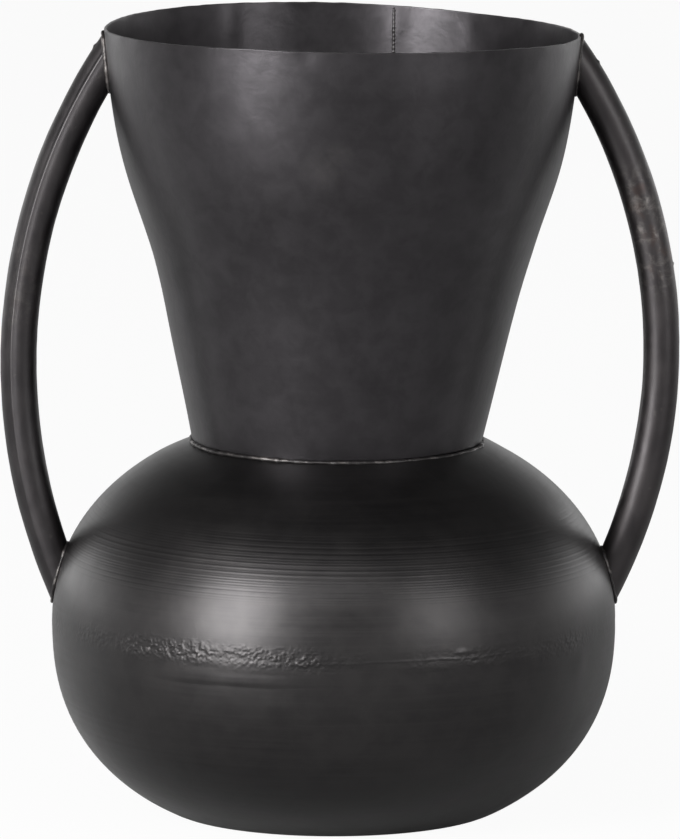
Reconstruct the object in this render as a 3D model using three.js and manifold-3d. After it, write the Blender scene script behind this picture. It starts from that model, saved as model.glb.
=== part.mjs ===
// Metal vase: a belly of two spun shells, a tulip neck of rolled sheet and two handles of bent tube.
// Millimetres, +Z up. The origin is the centre of the flat base, and +X points to the right handle.
import * as THREE from 'three';
import { mergeVertices } from 'three/addons/utils/BufferGeometryUtils.js';
import Module from 'manifold-3d';

const wasm = await Module();
wasm.setup();

// Sheet and the clearance between a weld and what it joins
const sheetThickness = 1.5;
const weldGap = 0.3;

// Belly
const bellyRadius = 171.5;
const baseRadius = 100;
const jointHeight = 115.2;
const jointRoot = 2;
const lowerFullness = 2.33;
const upperFullness = 2.11;

// Neck, with its own axis shifted towards the right handle
const shoulderHeight = 225.7;
const neckFootRadius = 88;
const neckHoleLedge = 3;
const taperHeight = 82.5;
const taperTopRadius = 106.3;
const rimHeight = 477;
const rimRadius = 144;
const rimFlare = 0.069;
const rimDrop = 5.5;
const neckFootShift = 2.2;
const neckRimShift = 5.5;
const shiftHeight = 115;

// How strongly the neck's sweep keeps the taper's direction, and then the rim's, as shares of its height
const sweepStart = 0.44;
const sweepEnd = 0.58;

// Lengthwise seam of the neck, at the back
const seamAngle = THREE.MathUtils.degToRad(77);
const seamWidth = 3;
const seamProud = 0.5;

// Handles: how far each stands out past the belly, and where its tube seats under the rim and above the joint
const tubeRadius = 11;
const tubeWall = 1.5;
const leftHandle = { side: -1, standOff: 30.7, topDrop: 22, footRise: 30.3 };
const rightHandle = { side: 1, standOff: 38.6, topDrop: 20, footRise: 28.1 };
const handleBead = 2.4;

// Weld beads of the neck and of the belly
const neckBead = 3.4;
const belt = { proud: 0.5, width: 14 };

// How finely round shapes are divided
const ringSegments = 60;
const outlineSteps = 8;
const sweepSteps = 11;
const tubeSides = 16;
const tubeSteps = 26;
const beadSides = 10;

// Superellipse quarter with radius `across` at its widest line and `high` at the axis
function quarter(across, high, fullness, angle) {
  const power = 2 / fullness;
  return new THREE.Vector2(across * Math.cos(angle) ** power, high * Math.sin(angle) ** power);
}

// Height of the superellipse quarter that passes through a given radius at a given height
function quarterHeight(across, fullness, radius, height) {
  return height / (1 - (radius / across) ** fullness) ** (1 / fullness);
}

// Angle at which a quarter reaches a given radius
function quarterAngle(across, fullness, radius) {
  return Math.acos((radius / across) ** (fullness / 2));
}

const upperEdge = jointHeight + jointRoot / 2;
const lowerEdge = jointHeight - jointRoot / 2;
const upperHeight = quarterHeight(bellyRadius, upperFullness, neckFootRadius, shoulderHeight - upperEdge);
const lowerHeight = quarterHeight(bellyRadius, lowerFullness, baseRadius, lowerEdge);

// Outer line of the lower shell, from the edge of the base up to the joint
function lowerOutline() {
  const start = quarterAngle(bellyRadius, lowerFullness, baseRadius);
  const points = [];
  for (let i = 0; i <= outlineSteps; i++) {
    const angle = start * (1 - i / outlineSteps);
    const point = quarter(bellyRadius, lowerHeight, lowerFullness, angle);
    points.push(new THREE.Vector2(point.x, lowerEdge - point.y));
  }
  return points;
}

// The hole under the neck. It follows the neck's shift, so the shell is first made with a smaller one
const holeRadius = neckFootRadius - sheetThickness - neckHoleLedge;
const holeMargin = 2 * Math.abs(neckFootShift) + neckHoleLedge;

// Outer line of the upper shell, from the joint up to well inside its hole
function upperOutline() {
  const end = quarterAngle(bellyRadius, upperFullness, holeRadius - holeMargin);
  const points = [];
  for (let i = 0; i <= outlineSteps; i++) {
    const point = quarter(bellyRadius, upperHeight, upperFullness, (end * i) / outlineSteps);
    points.push(new THREE.Vector2(point.x, upperEdge + point.y));
  }
  return points;
}

// Radius of the belly at a height
function bellyRadiusAt(height) {
  const upper = height >= jointHeight;
  const share = upper ? (height - upperEdge) / upperHeight : (lowerEdge - height) / lowerHeight;
  const fullness = upper ? upperFullness : lowerFullness;
  return bellyRadius * (1 - Math.max(share, 0) ** fullness) ** (1 / fullness);
}

// The neck's line starts a little below the shoulder, so that the belly can cut its foot
const taperSlope = (taperTopRadius - neckFootRadius) / taperHeight;
const neckTuck = 4 * sheetThickness;

// Outer line of the neck, from its foot up to the rim: a straight taper, then one sweep
function neckOutline() {
  const taperTop = new THREE.Vector2(taperTopRadius, shoulderHeight + taperHeight);
  const rim = new THREE.Vector2(rimRadius, rimHeight);
  const sweepHeight = rim.y - taperTop.y;
  const taperWay = new THREE.Vector2(taperSlope, 1).normalize();
  const rimWay = new THREE.Vector2(rimFlare, 1).normalize();
  const sweep = new THREE.CubicBezierCurve(
    taperTop,
    taperTop.clone().addScaledVector(taperWay, sweepStart * sweepHeight),
    rim.clone().addScaledVector(rimWay, -sweepEnd * sweepHeight),
    rim,
  );
  const foot = new THREE.Vector2(neckFootRadius - neckTuck * taperSlope, shoulderHeight - neckTuck);
  return [foot, ...sweep.getPoints(sweepSteps)];
}

// Radius of the neck at a height, read between the points of its outline
function neckRadiusAt(height) {
  const points = neckOutline();
  const above = Math.max(1, points.findIndex((point) => point.y >= height));
  const [low, high] = [points[above - 1], points[above]];
  return THREE.MathUtils.mapLinear(height, low.y, high.y, low.x, high.x);
}

// Sideways shift of the neck's axis at a height
function neckShiftAt(height) {
  const share = THREE.MathUtils.clamp((height - shoulderHeight) / shiftHeight, 0, 1);
  return THREE.MathUtils.lerp(neckFootShift, neckRimShift, share);
}

// A line that climbs, moved sideways by a distance: outwards where the distance is positive
function offsetOutline(points, distance) {
  return points.map((point, i) => {
    const before = points[Math.max(i - 1, 0)];
    const after = points[Math.min(i + 1, points.length - 1)];
    const way = after.clone().sub(before).normalize();
    return point.clone().addScaledVector(new THREE.Vector2(way.y, -way.x), distance);
  });
}

// Revolves an outline round the Z axis
function revolve(points) {
  const geometry = new THREE.LatheGeometry(points, ringSegments);
  geometry.rotateX(Math.PI / 2);
  return geometry;
}

// Closed ring of the outline and the same line moved inwards by the sheet
function revolveSheet(outer, proud = 0) {
  const outside = offsetOutline(outer, proud);
  const inside = offsetOutline(outer, -sheetThickness - proud).reverse();
  return revolve([...outside, ...inside, outside[0].clone()]);
}

// How close two points are taken as one
const mergeDistance = 1e-4;

// Solid made from a closed geometry
function solidFrom(geometry) {
  const bare = geometry.clone();
  bare.deleteAttribute('normal');
  bare.deleteAttribute('uv');
  const merged = mergeVertices(bare, mergeDistance);
  return new wasm.Manifold(new wasm.Mesh({
    numProp: 3,
    vertProperties: new Float32Array(merged.attributes.position.array),
    triVerts: new Uint32Array(merged.index.array),
  }));
}

// Geometry of a solid, ready for a mesh
function geometryFrom(solid) {
  const { vertProperties, triVerts } = solid.getMesh();
  const geometry = new THREE.BufferGeometry();
  geometry.setAttribute('position', new THREE.BufferAttribute(new Float32Array(vertProperties), 3));
  geometry.setIndex(new THREE.BufferAttribute(new Uint32Array(triVerts), 1));
  geometry.computeVertexNormals();
  return geometry;
}

// Moves what belongs to the neck onto the neck's own axis and tips its rim
function settleOnNeck(geometry) {
  const position = geometry.attributes.position;
  for (let i = 0; i < position.count; i++) {
    const x = position.getX(i);
    const z = position.getZ(i);
    const rise = THREE.MathUtils.clamp((z - shoulderHeight) / (rimHeight - shoulderHeight), 0, 1);
    position.setX(i, x + neckShiftAt(z));
    position.setZ(i, z - (rimDrop / 2) * (x / rimRadius) * rise ** 2);
  }
  return geometry;
}

// The whole belly as one block, grown outwards by a distance
function bellyBlock(grow) {
  const outline = offsetOutline([...lowerOutline(), ...upperOutline()], grow);
  const bottom = new THREE.Vector2(0, outline[0].y);
  const top = new THREE.Vector2(0, outline[outline.length - 1].y);
  return solidFrom(revolve([bottom, ...outline, top]));
}

// The neck as one block, grown outwards by a distance and carried on above the rim
function neckBlock(grow, above) {
  const outline = offsetOutline(neckOutline(), grow);
  const foot = outline[0];
  const rim = outline[outline.length - 1];
  const points = [new THREE.Vector2(0, foot.y), ...outline];
  if (above > 0) points.push(new THREE.Vector2(rim.x, rim.y + above));
  points.push(new THREE.Vector2(0, rim.y + above));
  return solidFrom(settleOnNeck(revolve(points)));
}

// A bar that stands in the neck's wall at the seam, as wide as given
function seamBar(width) {
  const length = 2 * rimRadius;
  const bar = new THREE.BoxGeometry(length, width, 2 * rimHeight);
  bar.translate(length / 2, 0, rimHeight);
  bar.rotateZ(seamAngle);
  return solidFrom(bar);
}

// How far a tube runs on past its seat before the seat cuts it slanting
const handleTuck = 2.5 * tubeRadius;

// Middle line of a handle: an arc through its two seats that bulges past the belly by its stand-off
class HandleArc extends THREE.Curve {
  constructor({ side, standOff, topDrop, footRise }) {
    super();
    this.side = side;
    const topHeight = rimHeight - (side * rimDrop) / 2 - topDrop;
    const footHeight = jointHeight + footRise;
    const furthest = bellyRadius + standOff - tubeRadius;
    const topInset = furthest - neckRadiusAt(topHeight) - side * neckShiftAt(topHeight);
    const footInset = furthest - bellyRadiusAt(footHeight);
    this.radius = arcRadius(topInset, footInset, topHeight - footHeight);
    this.centreX = furthest - this.radius;
    this.centreZ = footHeight + halfChord(this.radius, footInset);
    const tuckAngle = handleTuck / this.radius;
    this.start = -Math.acos(1 - footInset / this.radius) - tuckAngle;
    this.end = Math.acos(1 - topInset / this.radius) + tuckAngle;
  }

  getPoint(t, target = new THREE.Vector3()) {
    const angle = THREE.MathUtils.lerp(this.start, this.end, t);
    const x = this.centreX + this.radius * Math.cos(angle);
    return target.set(this.side * x, 0, this.centreZ + this.radius * Math.sin(angle));
  }
}

// Height on an arc between its furthest point and where it is inset by a given amount
function halfChord(radius, inset) {
  return Math.sqrt(Math.max(2 * radius * inset - inset * inset, 0));
}

// Radius of the arc whose two insets lie a given height apart, found by halving
const halvings = 60;

function arcRadius(topInset, footInset, height) {
  let low = Math.max(topInset, footInset) / 2;
  let high = height * height;
  for (let i = 0; i < halvings; i++) {
    const middle = (low + high) / 2;
    const span = halfChord(middle, topInset) + halfChord(middle, footInset);
    if (span < height) low = middle;
    else high = middle;
  }
  return (low + high) / 2;
}

// A rod along a handle's arc, hollow where a bore is given
function handleRod(arc, radius, bore = 0) {
  const section = new THREE.Shape().absarc(0, 0, radius, 0, 2 * Math.PI, false);
  if (bore > 0) section.holes.push(new THREE.Path().absarc(0, 0, bore, 0, 2 * Math.PI, true));
  return solidFrom(new THREE.ExtrudeGeometry(section, {
    steps: tubeSteps,
    curveSegments: tubeSides / 2,
    bevelEnabled: false,
    extrudePath: arc,
  }));
}

// Blocks that the pieces are cut by. The neck's runs on above the rim, past the ends of the tubes
const bellyClear = bellyBlock(weldGap);
const neckClear = neckBlock(weldGap, 2 * handleTuck);

function buildNeck() {
  const sheet = solidFrom(revolveSheet(neckOutline()));
  const split = geometryFrom(sheet.subtract(seamBar(seamWidth)));
  return geometryFrom(solidFrom(settleOnNeck(split)).subtract(bellyClear));
}

function buildNeckSeamWeld() {
  const sheet = solidFrom(revolveSheet(neckOutline(), seamProud));
  const strip = geometryFrom(sheet.intersect(seamBar(seamWidth - 2 * weldGap)));
  const clear = neckBeadRing(neckBead + weldGap).add(bellyClear);
  return geometryFrom(solidFrom(settleOnNeck(strip)).subtract(clear));
}

// A round ring along the foot of the neck
function neckBeadRing(radius) {
  const section = [];
  for (let i = 0; i <= beadSides; i++) {
    const angle = (2 * Math.PI * i) / beadSides;
    const x = neckFootRadius + radius * Math.cos(angle);
    section.push(new THREE.Vector2(x, shoulderHeight + radius * Math.sin(angle)));
  }
  return solidFrom(settleOnNeck(revolve(section)));
}

function buildNeckWeld() {
  return geometryFrom(neckBeadRing(neckBead).subtract(bellyClear).subtract(neckClear));
}

function buildUpperShell() {
  const hole = new THREE.CylinderGeometry(holeRadius, holeRadius, shoulderHeight, ringSegments);
  hole.rotateX(Math.PI / 2);
  hole.translate(neckFootShift, 0, shoulderHeight);
  return geometryFrom(solidFrom(revolveSheet(upperOutline())).subtract(solidFrom(hole)));
}

function buildLowerShell() {
  const outside = lowerOutline();
  const inside = offsetOutline(outside, -sheetThickness);
  inside[0].y = sheetThickness;
  const points = [
    new THREE.Vector2(0, 0),
    ...outside,
    ...inside.reverse(),
    new THREE.Vector2(0, sheetThickness),
  ];
  return geometryFrom(solidFrom(revolve(points)));
}

// The belt lies on both shells, and its root fills the joint between them
function beltRing(grow) {
  const half = belt.width / 2 + grow;
  const rootHalf = jointRoot / 2 - weldGap;
  const seat = (height) => bellyRadiusAt(height) + weldGap;
  const heights = [half, (half + jointRoot / 2) / 2, rootHalf];
  const upperSeat = heights.map((h) => new THREE.Vector2(seat(jointHeight + h), jointHeight + h));
  const lowerSeat = heights.map((h) => new THREE.Vector2(seat(jointHeight - h), jointHeight - h)).reverse();
  const rootTop = new THREE.Vector2(bellyRadius - sheetThickness, jointHeight + rootHalf);
  const rootBottom = new THREE.Vector2(bellyRadius - sheetThickness, jointHeight - rootHalf);
  const crown = [-half / 2, 0, half / 2].map((h) => (
    new THREE.Vector2(seat(jointHeight + h) + belt.proud + grow, jointHeight + h)
  ));
  const points = [...upperSeat, rootTop, rootBottom, ...lowerSeat, ...crown, upperSeat[0].clone()];
  return solidFrom(revolve(points));
}

const footClear = bellyClear.add(beltRing(weldGap));

function buildHandle(arc) {
  const tube = handleRod(arc, tubeRadius, tubeRadius - tubeWall);
  return geometryFrom(tube.subtract(neckClear).subtract(footClear));
}

// A bead round the end of a tube: between the tube and what it stands on
function buildHandleWeld(arc, seatGrown, seatClear) {
  const collar = handleRod(arc, tubeRadius + weldGap + handleBead).intersect(seatGrown);
  return geometryFrom(collar.subtract(handleRod(arc, tubeRadius + weldGap)).subtract(seatClear));
}

// Finishes
const blackenedSheet = new THREE.MeshStandardMaterial({ color: 0x3a3634, roughness: 0.5, metalness: 0.7 });
const blackenedTube = new THREE.MeshStandardMaterial({ color: 0x3d3835, roughness: 0.45, metalness: 0.7 });
const weldMetal = new THREE.MeshStandardMaterial({ color: 0x5a5450, roughness: 0.6, metalness: 0.8 });

const vase = new THREE.Group();

function add(name, geometry, material) {
  const mesh = new THREE.Mesh(geometry, material);
  mesh.name = name;
  vase.add(mesh);
}

add('neck', buildNeck(), blackenedSheet);
add('neck_seam_weld', buildNeckSeamWeld(), weldMetal);
add('neck_weld', buildNeckWeld(), weldMetal);
add('upper_shell', buildUpperShell(), blackenedSheet);
add('belly_weld', geometryFrom(beltRing(0)), weldMetal);
add('lower_shell', buildLowerShell(), blackenedSheet);

const bellyGrown = bellyBlock(weldGap + handleBead);
const neckGrown = neckBlock(weldGap + handleBead, 0);
for (const [name, handle] of [['left_handle', leftHandle], ['right_handle', rightHandle]]) {
  const arc = new HandleArc(handle);
  add(name, buildHandle(arc), blackenedTube);
  add(`${name}_top_weld`, buildHandleWeld(arc, neckGrown, neckClear), weldMetal);
  add(`${name}_foot_weld`, buildHandleWeld(arc, bellyGrown, footClear), weldMetal);
}

export default vase;
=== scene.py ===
"""The looks of a blackened metal vase with two tube handles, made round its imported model.

Shapes are worked out in millimetres and turned into metres when a mesh is made. Angles on the vase run
from +X, so the side that faces the camera lies at -90 degrees.
"""
import itertools
import logging
import math
from dataclasses import dataclass, field, replace
from enum import Enum
from functools import cached_property
from typing import Any, Optional, Sequence, Union

import bmesh
import bpy
import numpy as np
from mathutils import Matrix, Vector


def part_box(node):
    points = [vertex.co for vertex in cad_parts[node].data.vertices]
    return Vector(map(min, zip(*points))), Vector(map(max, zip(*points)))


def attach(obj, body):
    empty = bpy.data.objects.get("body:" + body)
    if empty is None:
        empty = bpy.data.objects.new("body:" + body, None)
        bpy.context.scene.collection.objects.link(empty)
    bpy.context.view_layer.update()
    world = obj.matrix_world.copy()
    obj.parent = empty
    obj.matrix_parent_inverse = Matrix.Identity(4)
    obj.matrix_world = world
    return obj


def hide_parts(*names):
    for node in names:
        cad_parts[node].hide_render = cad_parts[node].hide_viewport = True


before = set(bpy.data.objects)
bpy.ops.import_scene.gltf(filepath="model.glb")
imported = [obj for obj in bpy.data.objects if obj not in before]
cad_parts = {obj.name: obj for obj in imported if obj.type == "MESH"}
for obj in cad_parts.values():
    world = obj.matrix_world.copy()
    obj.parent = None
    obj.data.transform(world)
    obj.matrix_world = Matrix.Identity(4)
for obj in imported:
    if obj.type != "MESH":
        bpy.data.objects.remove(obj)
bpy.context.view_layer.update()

logging.basicConfig(level=logging.INFO, format="%(message)s")
log = logging.getLogger("vase")

MM = 0.001
FRONT = -90.0
SHEET_THICKNESS = 1.5
TUBE_RADIUS = 11.0

Array = np.ndarray
Colour = tuple[float, float, float]
Piece = bpy.types.Object
Metal = bpy.types.Material


class Slot(Enum):
    """Names of three material slots, which no piece in this script uses."""

    SHEET = "blackened_sheet"
    TUBE = "blackened_tube"
    WELD = "weld_metal"


class Side(Enum):
    """Which side of the vase a handle stands on."""

    LEFT = -1
    RIGHT = 1


# Smooth steps, noise and dents that shape the meshes


def smooth_step(value: Array, low: float, high: float) -> Array:
    """Rises smoothly from 0 at low to 1 at high."""
    share = np.clip((value - low) / (high - low), 0.0, 1.0)
    return share * share * (3.0 - 2.0 * share)


def window(value: Array, low: float, high: float, soft: float) -> Array:
    """Is 1 between low and high and fades to 0 over the soft distance outside them."""
    return smooth_step(value, low - soft, low) * (1.0 - smooth_step(value, high, high + soft))


def bump_at(value: Array, centre: Union[float, Array], width: float) -> Array:
    """A bell of height 1 at the centre, with the width as its spread."""
    return np.exp(-(((value - centre) / width) ** 2))


def turn_between(angle: Array, centre: float) -> Array:
    """Signed distance in degrees from a centre angle, the short way round."""
    return (angle - centre + 180.0) % 360.0 - 180.0


@dataclass
class Lumps:
    """Smooth repeatable noise in space, read from a lattice of seeded values."""

    seed: int
    cells: int = 32
    values: Array = field(init=False)

    def __post_init__(self) -> None:
        """Fills the lattice."""
        shape = (self.cells,) * 3
        self.values = np.random.default_rng(self.seed).uniform(-1.0, 1.0, shape)

    def at(self, points: Array, size: Union[float, Sequence[float]]) -> Array:
        """Noise from -1 to 1 at points.

        Args:
            points: Places in millimetres, with three numbers along the last axis.
            size: Width of a lump, alike or for each axis.

        Returns:
            One number for each point.
        """
        place = points / np.asarray(size, float)
        base = np.floor(place).astype(int)
        part = place - base
        part = part * part * (3.0 - 2.0 * part)
        total = np.zeros(points.shape[:-1])
        for corner in itertools.product((0, 1), repeat=3):
            index = (base + np.array(corner)) % self.cells
            weight = np.prod(np.where(np.array(corner) == 1, part, 1.0 - part), axis=-1)
            total += weight * self.values[index[..., 0], index[..., 1], index[..., 2]]
        return total


@dataclass(frozen=True)
class Dent:
    """A soft dent or rise of a sheet."""

    angle: float
    height: float
    wide: float
    tall: float
    deep: float

    def at(self, angle: Array, height: Array) -> Array:
        """How far it moves the sheet at angles in degrees and heights."""
        bell = bump_at(turn_between(angle, self.angle), 0, self.wide)
        return self.deep * bell * bump_at(height, self.height, self.tall)


@dataclass(frozen=True)
class Stretch:
    """Part of the way round the vase, in degrees from the front, with soft ends."""

    low: float
    high: float
    soft: float
    strength: float = 1.0

    def at(self, around: Array) -> Array:
        """How strong it is at angles from the front."""
        return self.strength * window(around, self.low, self.high, self.soft)


# Mesh making


def mesh_from_grid(name: str, points: Array, wear: Array, closed: bool = True) -> Piece:
    """Makes a smooth mesh of four-sided faces from a grid whose columns close on themselves.

    Args:
        name: Name of the piece.
        points: Places in millimetres, as rows by columns by three.
        wear: How rubbed each grid point is, from 0 to 1.
        closed: Whether the last row joins the first. If not, a fan closes each of them.

    Returns:
        The new object.
    """
    rows, columns, _ = points.shape
    places = points.reshape(-1, 3)
    rubbed = wear.reshape(-1)
    index = np.arange(rows * columns).reshape(rows, columns)
    below = index if closed else index[:-1]
    above = np.roll(index, -1, axis=0) if closed else index[1:]
    quads = np.stack([below, np.roll(below, -1, 1), np.roll(above, -1, 1), above], axis=-1)
    faces = quads.reshape(-1, 4).tolist()
    for row in () if closed else (0, -1):
        middle = len(places)
        places = np.vstack([places, points[row].mean(axis=0)])
        rubbed = np.append(rubbed, rubbed[index[row]].mean())
        ring = index[row].tolist()
        faces += [[ring[i - 1], ring[i], middle] for i in range(columns)]
    mesh = bpy.data.meshes.new(name)
    mesh.from_pydata((places * MM).tolist(), [], faces)
    mesh.polygons.foreach_set("use_smooth", [True] * len(mesh.polygons))
    layer = mesh.attributes.new("wear", "FLOAT", "POINT")
    layer.data.foreach_set("value", rubbed.astype(np.float32))
    shape = bmesh.new()
    shape.from_mesh(mesh)
    bmesh.ops.recalc_face_normals(shape, faces=shape.faces)
    shape.to_mesh(mesh)
    shape.free()
    mesh.update()
    piece = bpy.data.objects.new(name, mesh)
    bpy.context.scene.collection.objects.link(piece)
    return piece


def full_turn(columns: int) -> Array:
    """Angles in degrees all the way round, one for each column."""
    return np.linspace(-180, 180, columns, endpoint=False)


def line_of(radius: Array, height: Array) -> Array:
    """An outline as rows of radius and height."""
    return np.stack([radius, height], axis=1)


def revolved(line: Array, angle: Array) -> Array:
    """Turns an outline round the axis.

    Args:
        line: Rows of radius and height.
        angle: Angles in degrees, one for each column.

    Returns:
        Places as rows by columns by three.
    """
    turn = np.radians(angle)
    radius, height = line[:, :1], line[:, 1:]
    return np.stack([radius * np.cos(turn), radius * np.sin(turn), height + 0 * turn], axis=-1)


def pushed(places: Array, normals: Array, angle: Array, push: Array) -> Array:
    """Moves revolved places along the outward normals of their outline."""
    return places + push[..., None] * revolved(normals, angle)


def outward_normals(line: Array) -> Array:
    """Unit normals of a climbing outline of (radius, height) points, pointing away from the axis.

    Args:
        line: Rows of radius and height, from low to high.

    Returns:
        One normal for each row.
    """
    way = np.gradient(line, axis=0)
    way /= np.linalg.norm(way, axis=1, keepdims=True)
    return np.stack([way[:, 1], -way[:, 0]], axis=1)


@dataclass
class SheetSection:
    """The closed section of a thin sheet: outer line, rounded lip, inner line and rounded lip.

    Args:
        outer: Outer line from low to high, as (radius, height) points.
        inner_every: One inner point for this many outer points.
        lip_points: Points round each lip.
        lip_rise: How far a lip stands out, for half the sheet's thickness.
    """

    outer: Array
    inner_every: int = 2
    lip_points: int = 5
    lip_rise: float = 0.35
    points: Array = field(init=False)
    normals: Array = field(init=False)
    lip: Array = field(init=False)
    open_rows: int = field(init=False)

    def __post_init__(self) -> None:
        """Builds the loop of points, with the outer normal and the lip share of each."""
        normal = outward_normals(self.outer)
        inner = self.outer - normal * SHEET_THICKNESS
        keep = np.append(np.arange(len(inner) - 1, 0, -self.inner_every), 0)
        top = self._lip(-1, normal, 1.0)
        foot = self._lip(0, normal, -1.0)
        self.points = np.vstack([self.outer, top, inner[keep], foot[::-1]])
        top_normals, foot_normals = (np.tile(normal[end], (self.lip_points, 1)) for end in (-1, 0))
        self.normals = np.vstack([normal, top_normals, normal[keep], foot_normals])
        outer_lip, inner_lip = np.zeros(len(self.outer)), np.zeros(len(keep))
        for line in (outer_lip, inner_lip):
            line[0] = line[-1] = 0.5
        self.lip = np.concatenate([outer_lip, np.ones(len(top)), inner_lip, np.ones(len(foot))])
        self.open_rows = len(self.outer) + len(top) + len(keep)

    def _lip(self, end: int, normal: Array, way: float) -> Array:
        """Points round one edge of the sheet, from its outer to its inner side.

        Args:
            end: Which end of the outer line, 0 or -1.
            normal: Normals of the outer line.
            way: Whether the lip stands out onwards along the line, 1, or back, -1.

        Returns:
            Rows of radius and height.
        """
        half = SHEET_THICKNESS / 2
        along = np.array([-normal[end][1], normal[end][0]]) * way * self.lip_rise * half
        centre = self.outer[end] - normal[end] * half
        turns = np.linspace(0, math.pi, self.lip_points + 2)[1:-1]
        return np.array([centre + normal[end] * half * math.cos(a) + along * math.sin(a) for a in turns])


def sweep_bead(
    name: str,
    path: Array,
    up: Array,
    radius: Array,
    flat: float = 1.0,
    sides: int = 12,
    closed: bool = True,
) -> Piece:
    """Sweeps a lumpy rounded section along a path, as a weld bead runs.

    Args:
        name: Name of the piece.
        path: Places in millimetres along the bead.
        up: For each place, the way that the bead stands up from what it lies on.
        radius: Half width of the bead at each place.
        flat: How high the bead is for its width.
        sides: Points round the section.
        closed: Whether the path closes on itself.

    Returns:
        The new object.
    """
    if closed:
        along = np.roll(path, -1, axis=0) - np.roll(path, 1, axis=0)
    else:
        along = np.gradient(path, axis=0)
    along /= np.linalg.norm(along, axis=1, keepdims=True)
    across = np.cross(along, up)
    across /= np.linalg.norm(across, axis=1, keepdims=True)
    rise = np.cross(across, along)
    turns = np.linspace(0, 2 * math.pi, sides, endpoint=False)
    ring = across[:, None] * (np.cos(turns) * radius[:, None])[..., None]
    ring = ring + rise[:, None] * (np.sin(turns) * radius[:, None] * flat)[..., None]
    wear = np.clip(np.sin(turns), 0, 1)[None] * np.ones((len(path), 1))
    return mesh_from_grid(name, path[:, None] + ring, wear, closed)


# Outlines of the vase, which follow the solids of the frame


@dataclass
class BellyLine:
    """Outline of the belly: a quarter of a superellipse below the joint and one above it."""

    radius: float
    lower_edge: float
    upper_edge: float
    base_radius: float = 100.0
    foot_radius: float = 88.0
    shoulder: float = 225.7
    lower_fullness: float = 2.33
    upper_fullness: float = 2.11

    @classmethod
    def from_frame(cls) -> "BellyLine":
        """Reads the belly's radius and the two edges of its joint from the frame."""
        lower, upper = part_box("lower_shell")[1] / MM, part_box("upper_shell")[0] / MM
        return cls(radius=-upper.x, lower_edge=lower.z, upper_edge=upper.z)

    @property
    def joint(self) -> float:
        """Height of the joint between the shells."""
        return (self.lower_edge + self.upper_edge) / 2

    def _full_height(self, fullness: float, radius: float, height: float) -> float:
        """Height of the quarter that passes through a radius at a height from its widest line."""
        return height / (1 - (radius / self.radius) ** fullness) ** (1 / fullness)

    @property
    def upper_height(self) -> float:
        """Height of the upper quarter."""
        return self._full_height(self.upper_fullness, self.foot_radius, self.shoulder - self.upper_edge)

    @property
    def lower_height(self) -> float:
        """Height of the lower quarter."""
        return self._full_height(self.lower_fullness, self.base_radius, self.lower_edge)

    def radius_at(self, height: Array) -> Array:
        """Radius of the belly at heights.

        Args:
            height: The heights.

        Returns:
            One radius for each height.
        """
        height = np.asarray(height, float)
        upper = height >= self.joint
        up = (height - self.upper_edge) / self.upper_height
        down = (self.lower_edge - height) / self.lower_height
        share = np.clip(np.where(upper, up, down), 0, 1)
        fullness = np.where(upper, self.upper_fullness, self.lower_fullness)
        return self.radius * np.maximum(1 - share**fullness, 0) ** (1 / fullness)

    def height_at(self, radius: Array) -> Array:
        """Height of the upper half at radii."""
        share = 1 - (np.asarray(radius, float) / self.radius) ** self.upper_fullness
        return self.upper_edge + self.upper_height * share ** (1 / self.upper_fullness)


@dataclass
class NeckLine:
    """Outline of the neck: a straight taper, then one sweep to the rim, round an axis that shifts."""

    foot_height: float = 225.7
    foot_radius: float = 88.0
    taper_height: float = 82.5
    taper_radius: float = 106.3
    rim_height: float = 477.0
    rim_radius: float = 144.0
    rim_flare: float = 0.069
    sweep_start: float = 0.44
    sweep_end: float = 0.58
    sweep_points: int = 160
    foot_shift: float = 2.2
    rim_shift: float = 5.5
    shift_height: float = 115.0
    sweep: Array = field(init=False)

    def __post_init__(self) -> None:
        """Works out the sweep as one curve from the taper to the rim."""
        low = np.array([self.taper_radius, self.foot_height + self.taper_height])
        high = np.array([self.rim_radius, self.rim_height])
        span = high[1] - low[1]
        taper_way = np.array([self.slope, 1.0]) / math.hypot(self.slope, 1)
        rim_way = np.array([self.rim_flare, 1.0]) / math.hypot(self.rim_flare, 1)
        first = low + taper_way * self.sweep_start * span
        second = high - rim_way * self.sweep_end * span
        t = np.linspace(0, 1, self.sweep_points)[:, None]
        weights = ((1 - t) ** 3, 3 * t * (1 - t) ** 2, 3 * t * t * (1 - t), t**3)
        self.sweep = weights[0] * low + weights[1] * first + weights[2] * second + weights[3] * high

    @property
    def slope(self) -> float:
        """How far the taper widens for each millimetre that it climbs."""
        return (self.taper_radius - self.foot_radius) / self.taper_height

    def radius_at(self, height: Array) -> Array:
        """Radius of the neck at heights, carried on straight above the rim.

        Args:
            height: The heights.

        Returns:
            One radius for each height.
        """
        height = np.asarray(height, float)
        taper = self.foot_radius + self.slope * (height - self.foot_height)
        sweep = np.interp(height, self.sweep[:, 1], self.sweep[:, 0])
        above = self.rim_flare * np.maximum(height - self.rim_height, 0)
        return np.where(height < self.sweep[0, 1], taper, sweep + above)

    def shift_at(self, height: Array) -> Array:
        """Sideways shift of the neck's axis at heights."""
        share = np.clip((np.asarray(height, float) - self.foot_height) / self.shift_height, 0, 1)
        return self.foot_shift + (self.rim_shift - self.foot_shift) * share


# Shader building


Number = Union["Signal", float, int]
Inputs = dict[Union[str, int], Any]


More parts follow.
